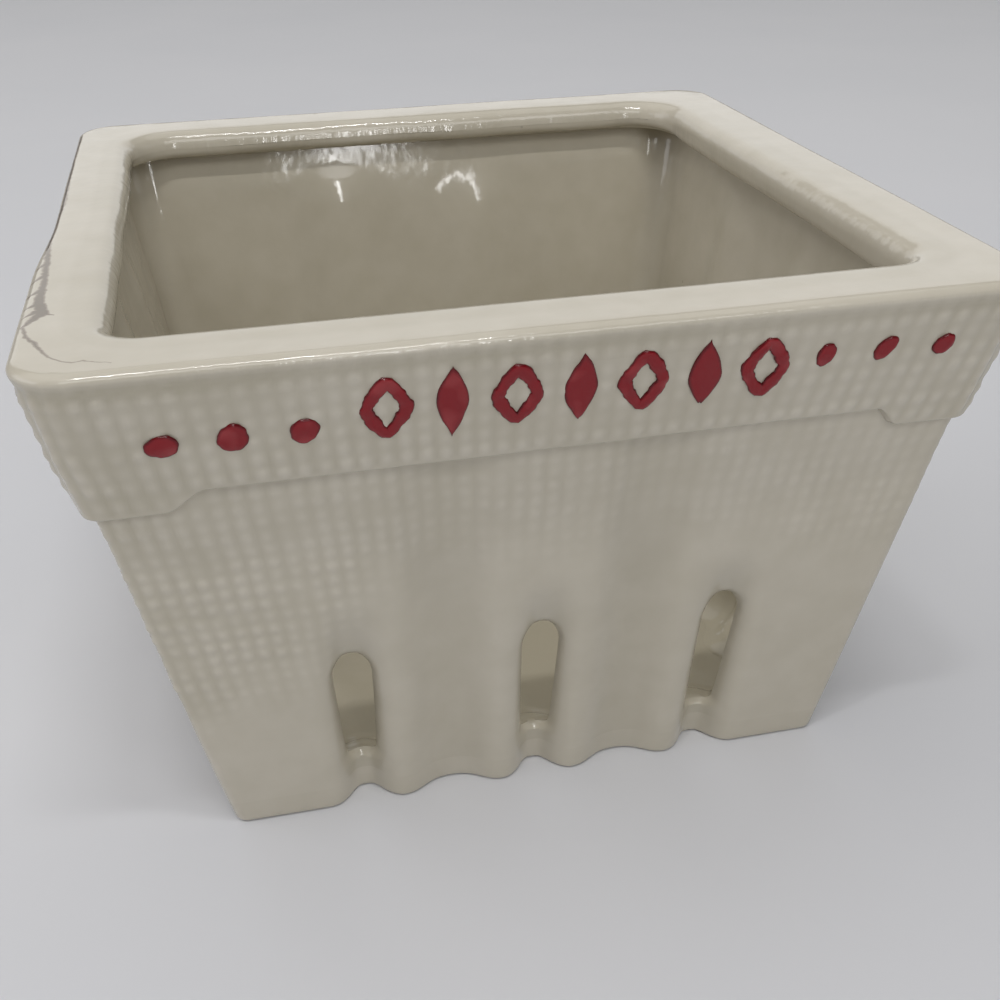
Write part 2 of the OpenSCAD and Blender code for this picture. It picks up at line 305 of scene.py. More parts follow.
def trimPiece(piece, sharp=trim["sharp"]):
    clearSelection()
    piece.select_set(True)
    bpy.context.view_layer.objects.active = piece
    bpy.ops.object.mode_set(mode="EDIT")
    bpy.ops.mesh.select_all(action="SELECT")
    bpy.ops.mesh.remove_doubles(threshold=trim["weldMetres"])
    bpy.ops.mesh.select_all(action="SELECT")
    bpy.ops.mesh.normals_make_consistent(inside=False)
    bpy.ops.object.mode_set(mode="OBJECT")
    bpy.ops.object.shade_smooth_by_angle(angle=math.radians(sharp))


def keepPiece(piece, slotName, material, *nodes):
    piece.data.materials.clear()
    piece.data.materials.append(material)
    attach(piece, "root")
    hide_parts(*nodes)
    print(piece.name, "has", sum(len(p.vertices) - 2 for p in piece.data.polygons), "triangles")


# Materials
def hexColour(code):
    parts = [int(code[i:i + 2], 16) / 255 for i in (1, 3, 5)]
    return tuple(p / 12.92 if p <= 0.04045 else ((p + 0.055) / 1.055) ** 2.4 for p in parts) + (1.0,)


def addNode(material, kind, inputs=None, **settings):
    made = material.node_tree.nodes.new(kind)
    for name, value in settings.items():
        setattr(made, name, value)
    for name, value in (inputs or {}).items():
        socket = made.inputs[name]
        if isinstance(value, bpy.types.NodeSocket):
            material.node_tree.links.new(value, socket)
        else:
            socket.default_value = value
    return made


def addNoise(m, place, sizeMm, detail, output="Fac"):
    inputs = {"Vector": place, "Scale": 1000 / sizeMm, "Detail": detail}
    return addNode(m, "ShaderNodeTexNoise", inputs).outputs[output]


def addMath(m, operation, *values, **settings):
    inputs = dict(enumerate(values))
    return addNode(m, "ShaderNodeMath", inputs, operation=operation, **settings).outputs[0]


def addVector(m, operation, *values, output=0):
    inputs = dict(enumerate(values))
    return addNode(m, "ShaderNodeVectorMath", inputs, operation=operation).outputs[output]


def addRange(m, value, fromMin, fromMax, toMin=0.0, toMax=1.0):
    inputs = {"Value": value, "From Min": fromMin, "From Max": fromMax, "To Min": toMin, "To Max": toMax}
    return addNode(m, "ShaderNodeMapRange", inputs).outputs[0]


def addBlend(m, share, first, second):
    inputs = {"Factor": share, "A": first, "B": second}
    return addNode(m, "ShaderNodeMix", inputs, data_type="RGBA").outputs["Result"]


def newMaterial(name):
    material = bpy.data.materials.new(name)
    material.use_nodes = True
    material.node_tree.nodes.clear()
    return material


def finish(material, surface):
    out = addNode(material, "ShaderNodeOutputMaterial")
    material.node_tree.links.new(surface, out.inputs["Surface"])
    return material


# Slip-cast earthenware under a thick glossy cream glaze: it pools a little darker in hollows,
# thins to a warmer tone on crests and rolled edges, and carries a few iron specks; the darker pooled
# tone is also used as painted shade inside the bowl, deepening towards its floor
glaze = {
    "cream": "#C4BDAD", "pooledAndShaded": "#ACA48E", "thin": "#D0C9BA", "speck": "#5B5145",
    "creamShare": 0.4, "cloudMm": 42, "mottleMm": 6.0, "uneven": 0.18,
    "speckCellMm": 15, "speckMm": 0.34, "speckRare": 0.62, "speckShare": 0.75,
    "waveMm": 11.0, "waveOverPeel": 4.0, "peelMm": 2.2, "peelMetres": 0.00004,
    "rough": 0.105, "roughLess": 0.02, "roughMore": 0.05, "ior": 1.52,
    # the glaze ran down the rim's lip in fine upright ripples, which end under its flat top
    "rippleMm": 1.6, "rippleUp": 0.12, "rippleMetres": 0.00013, "rippleTop": (0.0886, 0.0892),
}


def makeGlaze(name, streaked=False):
    m = newMaterial(name)
    place = addNode(m, "ShaderNodeTexCoord").outputs["Object"]
    poolAndShade = addNode(m, "ShaderNodeAttribute", attribute_name="poolAndShade").outputs["Fac"]
    cloud = addNoise(m, place, glaze["cloudMm"], 3.0)
    mottle = addNoise(m, place, glaze["mottleMm"], 2.0)
    soft = addRange(m, addMath(m, "ADD", cloud, mottle), 0.7, 1.3, -glaze["uneven"], glaze["uneven"])
    # the per-vertex layer mixes real glaze pooling with painted shade inside the bowl
    pooledAndShaded = addMath(m, "ADD", poolAndShade, soft, use_clamp=True)
    tone = addBlend(m, pooledAndShaded, hexColour(glaze["thin"]), hexColour(glaze["pooledAndShaded"]))
    colour = addBlend(m, glaze["creamShare"], tone, hexColour(glaze["cream"]))
    # iron specks, one cell in a few has one
    cells = addNode(m, "ShaderNodeTexVoronoi", {"Vector": place, "Scale": 1000 / glaze["speckCellMm"]},
                    feature="F1")
    chosen = addNode(m, "ShaderNodeSeparateColor", {"Color": cells.outputs["Color"]})
    rare = addMath(m, "GREATER_THAN", chosen.outputs["Red"], glaze["speckRare"])
    size = glaze["speckMm"] / glaze["speckCellMm"]
    reach = addRange(m, cells.outputs["Distance"], size * 0.5, size * 1.5, 1.0, 0.0)
    speck = addMath(m, "MULTIPLY", addMath(m, "MULTIPLY", rare, reach), glaze["speckShare"])
    colour = addBlend(m, speck, colour, hexColour(glaze["speck"]))
    # the surface: long soft waves with a fine peel on them
    wave = addNoise(m, place, glaze["waveMm"], 1.0)
    peel = addNoise(m, place, glaze["peelMm"], 1.0)
    relief = addMath(m, "MULTIPLY_ADD", wave, glaze["waveOverPeel"], peel)
    bump = addNode(m, "ShaderNodeBump", {"Height": relief, "Distance": glaze["peelMetres"],
                                         "Strength": 1.0})
    rough = addRange(m, mottle, 0.3, 0.7, glaze["rough"] - glaze["roughLess"],
                     glaze["rough"] + glaze["roughMore"])
    if streaked:
        high = addNode(m, "ShaderNodeSeparateXYZ", {"Vector": place}).outputs["Z"]
        upright = addVector(m, "MULTIPLY", place, (1.0, 1.0, glaze["rippleUp"]))
        ripple = addNoise(m, upright, glaze["rippleMm"], 2.0)
        below = addRange(m, high, *glaze["rippleTop"], 1.0, 0.0)
        ripple = addMath(m, "MULTIPLY", ripple, below)
        bump = addNode(m, "ShaderNodeBump", {"Height": ripple, "Distance": glaze["rippleMetres"],
                                             "Strength": 1.0, "Normal": bump.outputs[0]})
        colour = addStreak(m, place, high, colour)
    shader = addNode(m, "ShaderNodeBsdfPrincipled", {
        "Base Color": colour, "Roughness": rough, "IOR": glaze["ior"], "Normal": bump.outputs[0]})
    return finish(m, shader.outputs[0])


# Where the glaze crawled off the rim's left edge: a thin line, teeth that point outward and a hairline,
# each drawn as a path of places seen from above with its half width
streak = {
    "paths": [
        [(-67.9, 61, 0.25), (-68.3, 43, 0.3), (-68.0, 22, 0.34), (-67.8, 10, 0.42), (-68.3, -6, 0.3),
         (-68.4, -15, 0.4), (-68.0, -23, 0.5), (-67.6, -33, 0.5), (-67.6, -41, 0.75), (-66.7, -46.5, 0.95),
         (-67.8, -48.6, 0.6), (-68.8, -51.2, 0.25), (-68.0, -55.0, 0.3), (-66.8, -57.4, 0.36),
         (-65.8, -60.2, 0.28), (-64.8, -62.6, 0.17), (-63.2, -64.4, 0.15), (-61.7, -65.4, 0.14),
         (-60.5, -64.9, 0.12), (-59.3, -65.7, 0.12), (-57.0, -66.6, 0.05)],
        [(-67.9, -24.6, 0.6), (-69.3, -27.0, 0.08)], [(-67.8, -30.4, 0.6), (-69.6, -33.2, 0.08)],
        [(-67.6, -36.8, 0.7), (-69.7, -39.4, 0.1)], [(-67.4, -42.4, 0.8), (-69.3, -44.2, 0.1)],
        [(-67.4, -45.6, 0.8), (-69.2, -47.6, 0.1)], [(-66.9, -46.4, 0.7), (-65.2, -47.4, 0.12)],
    ],
    "fringe": "#A3988A", "heart": "#7E7467", "raggedMm": 1.1, "ragged": 0.7,
    # it fades out between these heights on the rolled edge, in metres
    "edge": (0.0868, 0.0880),
}


def lineDepth(m, flat, paths):
    # how deep a place lies inside the paths; only x and y count
    total = None
    for points in paths:
        for (ax, ay, aw), (bx, by, bw) in zip(points, points[1:]):
            dx, dy = bx - ax, by - ay
            size = dx * dx + dy * dy
            start = addVector(m, "SUBTRACT", flat, (ax, ay, 0.0))
            share = addVector(m, "DOT_PRODUCT", start, (dx / size, dy / size, 0.0), output="Value")
            share = addNode(m, "ShaderNodeClamp", {"Value": share}).outputs[0]
            along = addNode(m, "ShaderNodeVectorMath", {0: (dx, dy, 0.0), "Scale": share},
                            operation="SCALE").outputs[0]
            apart = addVector(m, "DISTANCE", start, along, output="Value")
            width = addMath(m, "MULTIPLY_ADD", share, bw - aw, aw)
            depth = addMath(m, "SUBTRACT", width, apart)
            total = depth if total is None else addMath(m, "MAXIMUM", total, depth)
    return total


def addStreak(m, place, high, colour):
    shift = addVector(m, "SUBTRACT", addNoise(m, place, streak["raggedMm"], 3.0, "Color"), (0.5, 0.5, 0.5))
    shift = addVector(m, "MULTIPLY", shift, (streak["ragged"], streak["ragged"], 0.0))
    # metres become millimetres, seen from above
    flat = addVector(m, "MULTIPLY_ADD", place, (1000.0, 1000.0, 0.0), shift)
    depth = lineDepth(m, flat, streak["paths"])
    depth = addMath(m, "ADD", depth, addRange(m, high, *streak["edge"], -1.0, 0.0))
    colour = addBlend(m, addRange(m, depth, -0.12, 0.06), colour, hexColour(streak["fringe"]))
    return addBlend(m, addRange(m, depth, 0.02, 0.3), colour, hexColour(streak["heart"]))


# Red enamel brushed on thick over the glaze: it gathers deep and dark along its edges and lies thin
# and pinker in places, under a wet gloss
enamel = {
    "deep": "#58060F", "brushed": "#860D18", "thin": "#A03A3D", "thinShare": 0.65, "poolMm": 4.5,
    "strokeMm": 1.4, "strokeShare": 0.5, "strokeMetres": 0.00008, "strokeStrength": 0.8,
    "rough": 0.16, "ior": 1.42,
}


def makeEnamel():
    m = newMaterial("redEnamel")
    place = addNode(m, "ShaderNodeTexCoord").outputs["Object"]
    thick = addNode(m, "ShaderNodeAttribute", attribute_name="thick").outputs["Fac"]
    stroke = addNoise(m, place, enamel["strokeMm"], 3.0)
    pool = addNoise(m, place, enamel["poolMm"], 1.0)
    amount = addMath(m, "MULTIPLY_ADD", stroke, enamel["strokeShare"], thick)
    edge = addRange(m, amount, 0.25, 0.75)
    colour = addBlend(m, edge, hexColour(enamel["deep"]), hexColour(enamel["brushed"]))
    bare = addMath(m, "MULTIPLY", addRange(m, pool, 0.55, 0.7, 0.0, enamel["thinShare"]), edge)
    colour = addBlend(m, bare, colour, hexColour(enamel["thin"]))
    bump = addNode(m, "ShaderNodeBump", {"Height": stroke, "Distance": enamel["strokeMetres"],
                                         "Strength": enamel["strokeStrength"]})
    shader = addNode(m, "ShaderNodeBsdfPrincipled", {
        "Base Color": colour, "Roughness": enamel["rough"], "IOR": enamel["ior"],
        "Normal": bump.outputs[0]})
    return finish(m, shader.outputs[0])


bodyGlaze = makeGlaze("creamGlaze")
rimGlaze = makeGlaze("creamGlazeWithStreak", streaked=True)
redEnamel = makeEnamel()
print("glaze and enamel are mixed")


# Walls: a flat slab has its slots cut, is thickened, and is pressed into each side in turn
walls = {
    "rows": np.concatenate([
        [5, 5.15, 5.5, 6, 6.6, 7.3, 8, 9], np.linspace(10, 37, 50)[:-1], np.linspace(37, 67, 70)[:-1],
        np.linspace(67, 76, 6)[:-1], np.linspace(76, 84, 9)]),
    "fillet": 5.0, "cove": 1.06, "coveHigh": (77, 84), "innerUneven": 0.22, "innerSmooth": (12, 22, 74, 82),
    # inside, the places lie straight behind the outer ones up to this share of the side
    "straight": 0.7,
    # height where the weave starts, from one corner through the middle to the other
    "weaveFrom": {"front": (16, 46, 36), "right": (36, 44, 22), "back": (22, 46, 30), "left": (30, 45, 16)},
    "weaveFades": 20, "grooveWorn": 0.85, "valleyWorn": 0.5,
}
wallAcross = 2 * (wallColumns["flat"] + wallColumns["corner"])
wallUp = len(walls["rows"]) - 1


def slotOutline(side):
    high = slots["high"] - slots["topShare"] * slots["wide"] / 2
    sill = slots["sillWide"] / 2 - slots["corner"]
    points = [(slots["wide"] / 2 * math.cos(a), high + slots["topShare"] * slots["wide"] / 2 * math.sin(a))
              for a in np.linspace(0, math.pi, 33)]
    shrink = np.linspace(0, 1, 14)[1:-1]
    low = slots["low"] + slots["corner"]
    narrower = (slots["sillWide"] - slots["wide"]) / 2
    edge = [(slots["wide"] / 2 + narrower * t ** 1.6, high + (low - high) * t) for t in shrink]
    points += [(-w, z) for w, z in edge]
    points += [(-sill + slots["corner"] * math.cos(a), low + slots["corner"] * math.sin(a))
               for a in np.linspace(math.pi, 1.5 * math.pi, 7)]
    points += [(sill + slots["corner"] * math.cos(a), low + slots["corner"] * math.sin(a))
               for a in np.linspace(1.5 * math.pi, 2 * math.pi, 7)]
    points += [(w, z) for w, z in edge[::-1]]
    points = np.array(points)
    points[:, 0] += side * flutes["gap"] * lean(points[:, 1])
    return points


outlines = [slotOutline(side) for side in (-1, 0, 1)]


def insideOutline(x, z, outline):
    odd = np.zeros(len(x), dtype=bool)
    for (ax, az), (bx, bz) in zip(outline, np.roll(outline, -1, 0)):
        crosses = (az > z) != (bz > z)
        odd ^= crosses & (x < ax + (z - az) * (bx - ax) / (bz - az + 1e-12))
    return odd


def nearOutline(x, z, outline):
    low, step = outline, np.roll(outline, -1, 0) - outline
    share = (x[:, None] - low[:, 0]) * step[:, 0] + (z[:, None] - low[:, 1]) * step[:, 1]
    share = np.clip(share / (step ** 2).sum(1), 0, 1)
    px, pz = low[:, 0] + share * step[:, 0], low[:, 1] + share * step[:, 1]
    apart = np.hypot(x[:, None] - px, z[:, None] - pz)
    best = apart.argmin(1)
    every = np.arange(len(x))
    return apart[every, best], px[every, best], pz[every, best]


def wallFlat(k, z):
    return sidePlace(k, wallColumns["flat"], wallColumns["corner"], bodyHalf(z), body["corner"])


def rollWallSlab():
    slab = rollSlab("wallSlab", wallAcross, wallUp)
    mesh = slab.data
    centres = np.empty(len(mesh.polygons) * 3)
    mesh.polygons.foreach_get("center", centres)
    centres = centres.reshape(-1, 3)
    z = np.interp((centres[:, 1] + 1) / 2 * wallUp, np.arange(wallUp + 1), walls["rows"])
    x = wallFlat(centres[:, 0] * wallAcross / 2, z)[0]
    isOpen = np.zeros(len(x), dtype=bool)
    for outline in outlines:
        isOpen |= insideOutline(x, z, outline)
    for part in (mesh.vertices, mesh.edges, mesh.polygons):
        part.foreach_set("select", np.zeros(len(part), dtype=bool))
    mesh.polygons.foreach_set("select", isOpen)
    bpy.ops.object.mode_set(mode="EDIT")
    bpy.ops.mesh.select_mode(type="FACE")
    bpy.ops.mesh.delete(type="FACE")
    bpy.ops.object.mode_set(mode="OBJECT")
    # remember which grid places lie on a slot's edge
    counts = {}
    for face in mesh.polygons:
        for key in face.edge_keys:
            counts[key] = counts.get(key, 0) + 1
    i, j, _ = gridPlaces(slab, wallAcross, wallUp)
    onEdge = np.zeros((wallAcross + 1, wallUp + 1), dtype=bool)
    for key, count in counts.items():
        for v in key:
            if count == 1 and 0 < i[v] < wallAcross and 0 < j[v] < wallUp:
                onEdge[i[v], j[v]] = True
    thicken(slab)
    return slab, onEdge


def innerWall(k, half):
    # the wall's inner layer and which way it is pushed; past the flat part it goes round its own corner
    reach = np.abs(k) / wallColumns["flat"]
    turnAngle = np.clip((np.abs(k) - wallColumns["flat"]) / wallColumns["corner"], 0, 1) * math.pi / 4
    innerHalf = half - body["wall"]
    outerFlat, innerFlat = half - body["corner"], innerHalf - body["innerCorner"]
    even = walls["straight"]
    x = np.where(reach <= even, reach * outerFlat,
                 even * outerFlat + (reach - even) / (1 - even) * (innerFlat - even * outerFlat))
    x = np.sign(k) * np.where(reach <= 1, x, innerFlat + body["innerCorner"] * np.sin(turnAngle))
    y = -np.where(reach <= 1, innerHalf, innerFlat + body["innerCorner"] * np.cos(turnAngle))
    return x, y, np.sign(k) * np.sin(turnAngle), -np.cos(turnAngle)


def rollSlots(x, z, isOuter, isEdge):
    # slot edges are snapped to the outline, and the glaze is rolled softly round them
    push = np.zeros(len(x))
    for outline in outlines:
        near = np.abs(x - outline[:, 0].mean()) < slots["aside"]
        spot = np.where(near & (z > slots["rolledFrom"]) & (z < slots["rolledTo"]))[0]
        apart, px, pz = nearOutline(x[spot], z[spot], outline)
        roll = np.where(isOuter[spot], slots["roll"], slots["innerRoll"])
        onIt = isEdge[spot]
        inReach = (apart < roll) & ~onIt
        angle = np.clip(apart / roll, 0, 1) * math.pi / 2
        wanted = roll * (1 - np.cos(angle))
        share = np.where(onIt, 0, np.where(inReach, wanted / np.maximum(apart, 1e-6), 1))
        x[spot] = px + (x[spot] - px) * share
        z[spot] = pz + (z[spot] - pz) * share
        push[spot] += np.where(onIt, roll, np.where(inReach, roll * (1 - np.sin(angle)), 0))
    return push


def cutByHand(x, z, isOuter):
    # the tops of some slots sit lower, and inside every sill falls away and the sides open
    cut = z
    for outline, drop, sill in zip(outlines, slots["topDrop"], slots["sillDrop"]):
        aside = x - outline[:, 0].mean()
        near = smooth(8, 4.5, np.abs(aside))
        cut = cut - near * drop * between(z, *slots["topMoves"])
        falls = sill + np.where(isOuter, 0, slots["sillFalls"])
        cut = cut + near * falls * np.interp(z, (5, slots["low"], 26), (0, -1, 0))
        widen = slots["opens"] * between(np.abs(aside), 0, 3, 3, 9) * between(z, *slots["sidesMove"])
        x = x + np.where(isOuter, 0, np.sign(aside) * widen)
    return x, cut


def wallWeave(name, run, z, place, groove, valley, push):
    # worn away low down, on the slots' edges, in the grooves and half in the valleys
    left, middle, right = walls["weaveFrom"][name]
    start = np.interp(run, (-1, -0.62, -0.3, 0.3, 0.72, 1),
                      (left, left + 8, middle, middle, right + 4, right))
    mask = smooth(start, start + walls["weaveFades"], z + 5 * wanderAt(place, 23, 11))
    mask = mask * (1 - walls["grooveWorn"] * groove / flutes["deep"])
    mask = mask * (1 - walls["valleyWorn"] * valley / flutes["valleyDeep"])
    return mask * np.where(push > 0, 0, 1)


def pressWall(slab, onEdge, name, turn):
    i, j, isOuter = gridPlaces(slab, wallAcross, wallUp)
    k = i - wallAcross / 2
    z = walls["rows"][j]
    x, y, nx, ny, run = wallFlat(k, z)
    ix, iy, tx, ty = innerWall(k, bodyHalf(z))
    x, y = np.where(isOuter, x, ix), np.where(isOuter, y, iy)
    push = rollSlots(x, z, isOuter, onEdge[i, j])
    x, cut = cutByHand(x, z, isOuter)
    y = y + bodyHalf(z) - bodyHalf(cut)
    z = cut
    foot = x / lean(z)
    groove, valley = grooveAt(foot, z), valleyAt(foot, z)
    place = turned(x, y, z, turn)
    mask = wallWeave(name, run, z, place, groove, valley, push)
    mask = mask * weaveShare(run, turn // 90, "wallShare")
    rise = weave["high"] * mask * beads(weave["columns"] * run, z / weave["rowHigh"], place, 5)
    outward = skin(place) + rise
    # inner side: soft bulges behind the flutes, a fillet at the floor and a cove under the rim
    fillet, up = walls["fillet"], np.clip(z - body["floor"], 0, walls["fillet"])
    filled = fillet - np.sqrt(np.maximum(fillet ** 2 - (fillet - up) ** 2, 0))
    inward = innerFluteAt(foot, z) + filled - walls["cove"] * smooth(*walls["coveHigh"], z)
    inward = inward + walls["innerUneven"] * wanderAt(place, 30, 21) * between(z, *walls["innerSmooth"])
    # at the mitre both sides must meet, so the inward move runs along the corner's own normal
    px = np.where(isOuter, x + nx * outward, x - tx * inward)
    py = np.where(isOuter, y + groove + valley + push + ny * outward, y - ty * inward - push)
    press(slab, warp(turned(px, py, z, turn)))
    depth = np.clip((groove + valley) / flutes["deep"], 0, 1)
    outside = np.clip(0.25 + 0.45 * depth + (grainTone(rise) - 0.5) * 0.6, 0, 1)
    # inside, the wall takes the darker pooled tone as painted shade, and it deepens towards the floor
    setLayer(slab, "poolAndShade", np.where(isOuter, outside, 0.62 + 0.38 * smooth(55, 15, z)))
    trimPiece(slab)


wallSlab, slotEdges = rollWallSlab()
for side, turn in sides:
    wall = copyPiece(wallSlab, "glazedWall." + side)
    pressWall(wall, slotEdges, side, turn)
    keepPiece(wall, "cream_glaze", bodyGlaze, "wall_" + side)
removePiece(wallSlab)
print("walls are pressed")


# Bands: the same way, a slab that hangs outside the wall, with a rounded foot and its own weave
bands = {"up": 40, "edgeRows": 4, "sunk": 0.6, "stepHigh": 67.5, "lowUneven": 0.12}
bandAcross = 2 * (bandColumns["flat"] + bandColumns["corner"])
bandUp = bands["up"] + bands["edgeRows"]


def bandLow(x):
    run = np.where(x < 0, band["leftRun"], band["rightRun"])
    step = smooth(-0.4, 1.3, (np.abs(x) - band["stepAt"]) / run)
    return band["middleLow"] - (band["middleLow"] - band["low"]) * step


def bandBeads(run, z, place):
    return beads(weave["columns"] * run, (z - 60) / weave["bandRowHigh"], place, 8)


def pressBand(slab, turn):
    i, j, isOuter = gridPlaces(slab, bandAcross, bandUp)
    k = i - bandAcross / 2
    flatWide, cornerWide = bandColumns["flat"], bandColumns["corner"]
    stepHigh = bands["stepHigh"]
    firstX = sidePlace(k, flatWide, cornerWide, bandHalf(stepHigh), bandCorner(stepHigh))[0]
    low = bandLow(firstX) + bands["lowUneven"] * wander(firstX, 0, 0, 17, 31 + turn)
    angle = np.clip(j / bands["edgeRows"], 0, 1) * math.pi / 2
    inset = band["lowEdge"] * (1 - np.sin(angle))
    share = np.clip((j - bands["edgeRows"]) / bands["up"], 0, 1)
    start = low + band["lowEdge"]
    z = np.where(j < bands["edgeRows"], low + band["lowEdge"] * (1 - np.cos(angle)),
                 start + (rimLow - start) * share)
    x, y, nx, ny, run = sidePlace(k, flatWide, cornerWide, bandHalf(z) - inset, bandCorner(z) - inset)
    place = turned(x, y, z, turn)
    mask = smooth(0, 1.2, z - low) * weaveShare(run, turn // 90, "bandShare")
    mask = mask * (1 - 0.25 * smooth(72, 84, z))
    rise = weave["high"] * weave["bandHigher"] * mask * bandBeads(run, z, place)
    out = skin(place) * smooth(0, 1, z - low + 0.3) + rise
    wx, wy, *_ = sidePlace(k, flatWide, cornerWide, bodyHalf(z) - bands["sunk"], body["corner"])
    valley = valleyAt(wx / lean(z), z) * np.where(np.abs(k) <= flatWide, 1, 0)
    px = np.where(isOuter, x + nx * out, wx)
    py = np.where(isOuter, y + ny * out, wy + valley)
    press(slab, warp(turned(px, py, z, turn)))
    grain = grainTone(rise)
    setLayer(slab, "poolAndShade", np.where(isOuter, np.clip(0.28 + 0.6 * (grain - 0.4), 0, 1), 0.7))
    trimPiece(slab)


bandSlab = rollSlab("bandSlab", bandAcross, bandUp)
thicken(bandSlab)
for side, turn in sides:
    piece = copyPiece(bandSlab, "glazedBand." + side)
    pressBand(piece, turn)
    keepPiece(piece, "cream_glaze", bodyGlaze, "band_" + side)
removePiece(bandSlab)
print("bands are pressed")


# Rim: one section carried right round, a little uneven, always inside the mould
def ringSection():
    # each point: half width, corner radius, height, how far it may sag
    points = [(bandHalf(z), bandCorner(z), z, 0) for z in np.linspace(rimLow, edgeHigh, 6)[:-1]]
    half = body["rimWide"] / 2
    points += [(half - rim["edge"] * (1 - math.cos(a)), rim["corner"] - rim["edge"] * (1 - math.cos(a)),
                edgeHigh + rim["edge"] * math.sin(a), 0) for a in np.linspace(0, math.pi / 2, 8)]
    mouth, lip = rim["mouthWide"] / 2, rim["lipEdge"]
    points += [(h, rim["mouthCorner"] + h - mouth, body["tall"], 0)
               for h in np.linspace(half - rim["edge"], mouth + lip, 7)[1:-1]]
    points += [(mouth + lip * (1 - math.sin(a)), rim["mouthCorner"] + lip * (1 - math.sin(a)),
                body["tall"] - lip * (1 - math.cos(a)), 0) for a in np.linspace(0, math.pi / 2, 7)]
    under = rim["lipUnder"]
    points += [(mouth, rim["mouthCorner"], z, 0.4)
               for z in np.linspace(body["tall"] - lip, rimLow + under, 4)[1:-1]]
    points += [(mouth + under * (1 - math.cos(a)), rim["mouthCorner"] + under * (1 - math.cos(a)),
                rimLow + under * (1 - math.sin(a)), 1) for a in np.linspace(0, math.pi / 2, 7)]
    points += [(h, rim["mouthCorner"] + h - mouth, rimLow, 0)
               for h in np.linspace(mouth + under, bandHalf(rimLow), 5)[1:-1]]
    return np.array(points)


ringShares = ringSection()
ringAcross = 4 * 2 * (rimColumns["flat"] + rimColumns["corner"])
ringUp = len(ringShares)


def pressRing(slab):
    i, j, _ = gridPlaces(slab, ringAcross, ringUp)
    perSide = ringAcross // 4
    sideOf = (i // perSide) % 4
    k = i % perSide - perSide / 2
    half, radius, z, sag = ringShares[j % ringUp].T
    lipShare = 1 - smooth(rim["mouthWide"] / 2 + 3, rim["mouthWide"] / 2 + 9, half)
    radius = radius - lipShare * np.array(rim["mouthTighter"])[(sideOf + (k > 0)) % 4]
    x, y, nx, ny, run = sidePlace(k, rimColumns["flat"], rimColumns["corner"], half, radius)
    px, py = spun(x, y, sideOf)
    ox, oy = spun(nx, ny, sideOf)
    wider = rim["wider"]
    px = px + lipShare * (wider["left"] * smooth(-15, -50, px) - wider["right"] * smooth(15, 50, px))
    py = py + lipShare * (wider["front"] * smooth(-15, -50, py) - wider["back"] * smooth(15, 50, py))
    outside = half > rim["mouthWide"] / 2 + 6
    place = np.stack([px, py, z], 1)
    # the weave runs on up the outer face and leaves the edge a little lumpy
    worn = rim["weaveShare"] * smooth(*rim["weaveEnds"], z) * weaveShare(run, sideOf, "bandShare")
    relief = bandBeads(run, z, place) - rim["edgeLowered"] * smooth(*rim["edgeLoweredAt"], z)
    rise = weave["high"] * weave["bandHigher"] * worn * relief
    out = np.where(outside & (z < 89.55), skin(place) + rise, 0)
    top = smooth(88.6, 89.6, z)
    drop = top * rim["topUneven"] * (1 - wander(px, py, 0, 44, 41)) * 0.5
    wave = wander(px, py, 0, 26, 45)
    lip = np.where(outside, 0, 1)
    out = out + lip * smooth(84, 86, z) * (1 - top) * rim["lipUneven"] * (1 - wave)
    z = z - drop + sag * rim["sag"] * (0.5 + 0.5 * wander(px, py, 0, 19, 47)) * (z > rimLow + 0.05)
    z = z - sag * rim["rightDeeper"] * smooth(35, 60, px) * smooth(62, 40, np.abs(py))
    press(slab, warp(np.stack([px + ox * out, py + oy * out, z], 1)))
    grain = grainTone(rise)
    tone = np.where(outside, 0.14 + smooth(89, 87.4, z) * (0.14 + 0.6 * (grain - 0.4)), 0.35)
    setLayer(slab, "poolAndShade", np.clip(tone + 0.1 * wave, 0, 1))
    trimPiece(slab)


ring = rollSlab("glazedRim", ringAcross, ringUp)
pressRing(ring)
keepPiece(ring, "cream_glaze", rimGlaze, "rim_ring")
print("rim is pressed")


# Floor: the fluted foot closed below, softly dished inside
footing = {"dished": 0.12, "lifted": 0.35}
footAcross = 4 * wallAcross


def pressFoot(slab, rows):
    i, j, _ = gridPlaces(slab, footAcross, len(rows) - 1)
    sideOf = (i // wallAcross) % 4
    k = i % wallAcross - wallAcross / 2
    share, inset, z = np.array(rows)[j].T
    x, y, nx, ny, _ = wallFlat(k, z)
    foot = x / lean(z)
    y = y + grooveAt(foot, z) + valleyAt(foot, z)
    px, py = spun(x, y, sideOf)
    ox, oy = spun(nx, ny, sideOf)
    out = skin(np.stack([px, py, z], 1)) - inset
    px, py = (px + ox * out) * share, (py + oy * out) * share
    top = (z > 4.9) & (share < 0.97)
    dish = footing["dished"] * (1 + wander(px, py, 0, 30, 51)) * smooth(1, 0.8, share)
    z = z - np.where(top, dish, 0)
    # it stands on a ring, and the middle of its underside is lifted off the table
    z = z + np.where((z < 0.01) & (share < 0.86), footing["lifted"], 0)
    press(slab, warp(np.stack([px, py, z], 1)))
    # the floor inside takes the full pooled tone: glaze pooled there plus painted shade at the bottom of
    # the bowl; the hidden underside gets the same
    setLayer(slab, "poolAndShade", np.where(share < 0.97, 1.0, 0.35))
    trimPiece(slab)


footRows = [(0.0, 0, 0.0), (0.5, 0, 0.0), (0.84, 0, 0.0), (0.88, 0, 0.0), (0.96, 0, 0.0)]
footRows += [(1, body["footEdge"] * (1 - math.sin(a)), body["footEdge"] * (1 - math.cos(a)))
             for a in np.linspace(0, math.pi / 2, 6)]
footRows += [(1, 0, z) for z in (2.2, 3.6, 5.0)]
footRows += [(share, 0, 5.0) for share in (0.96, 0.9, 0.8, 0.65, 0.45, 0.2, 0.0)]
footSlab = rollSlab("glazedFoot", footAcross, len(footRows) - 1)
pressFoot(footSlab, footRows)
keepPiece(footSlab, "cream_glaze", bodyGlaze, "floor_slab")
print("foot is pressed")


